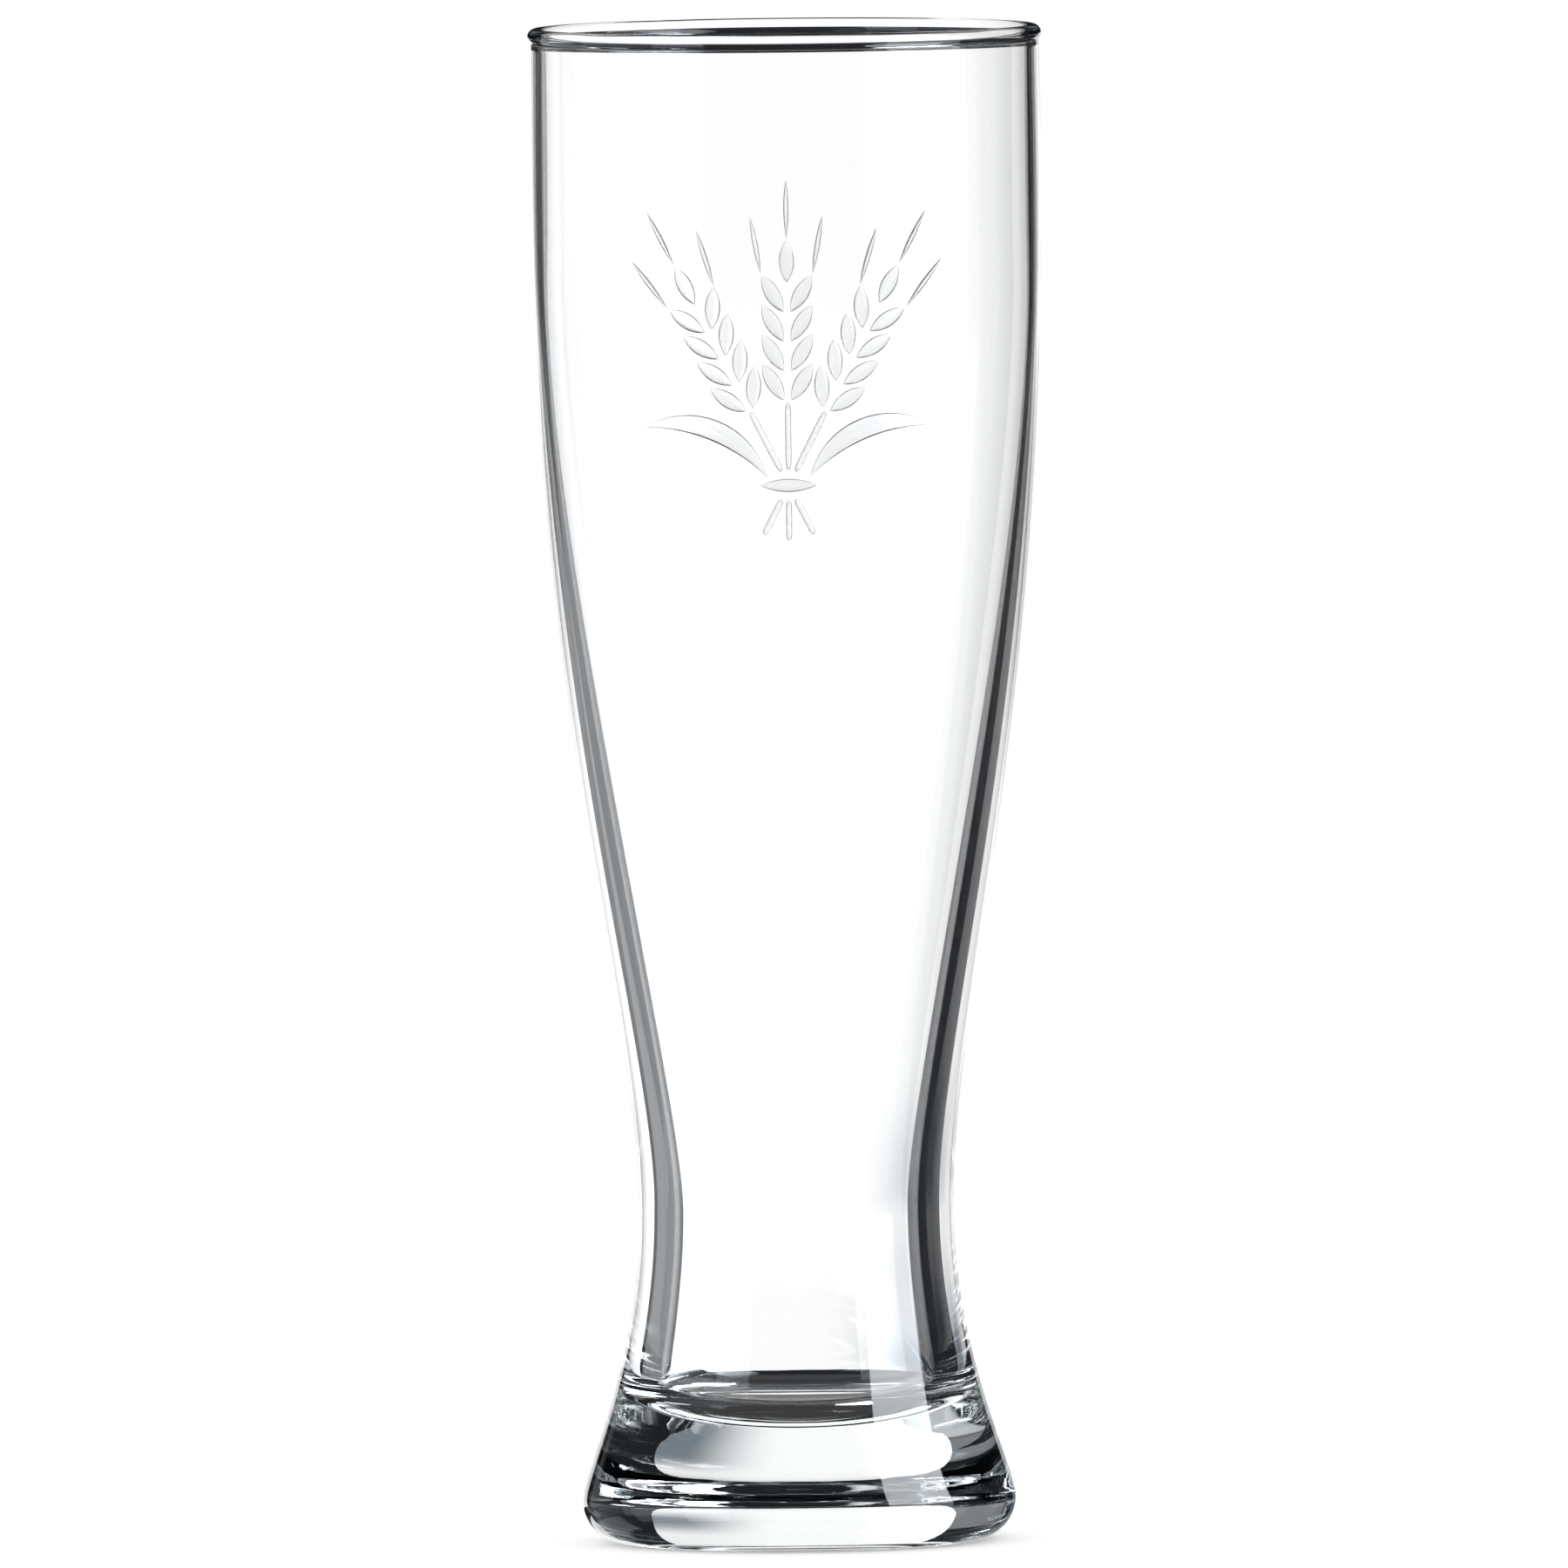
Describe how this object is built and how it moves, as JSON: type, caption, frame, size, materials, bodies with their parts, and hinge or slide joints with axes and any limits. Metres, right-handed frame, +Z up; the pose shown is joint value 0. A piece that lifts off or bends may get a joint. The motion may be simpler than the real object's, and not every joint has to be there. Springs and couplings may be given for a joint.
{
  "type": "pilsner glass",
  "caption": "Tall clear pilsner glass with a full rounded bowl, a drawn-in thick waist, a heavy solid foot and a frosted barley sheaf on the front.",
  "frame": {"origin": "centre of the foot, on the table", "axes": "+Z up along the glass's axis, -Y out of the front with the frosted sheaf, +X to its right"},
  "size_m": [0.0786, 0.0787, 0.232],
  "materials": {
    "clear_glass": "clear soda-lime glass, fire-polished",
    "frosted_enamel": "thin frosted enamel, matt, fired on the glass"
  },
  "bodies": {
    "root": {"foot": "clear_glass", "waist": "clear_glass", "bowl": "clear_glass", "rim_bead": "clear_glass", "frosted_sheaf": "frosted_enamel"}
  },
  "joints": []
}
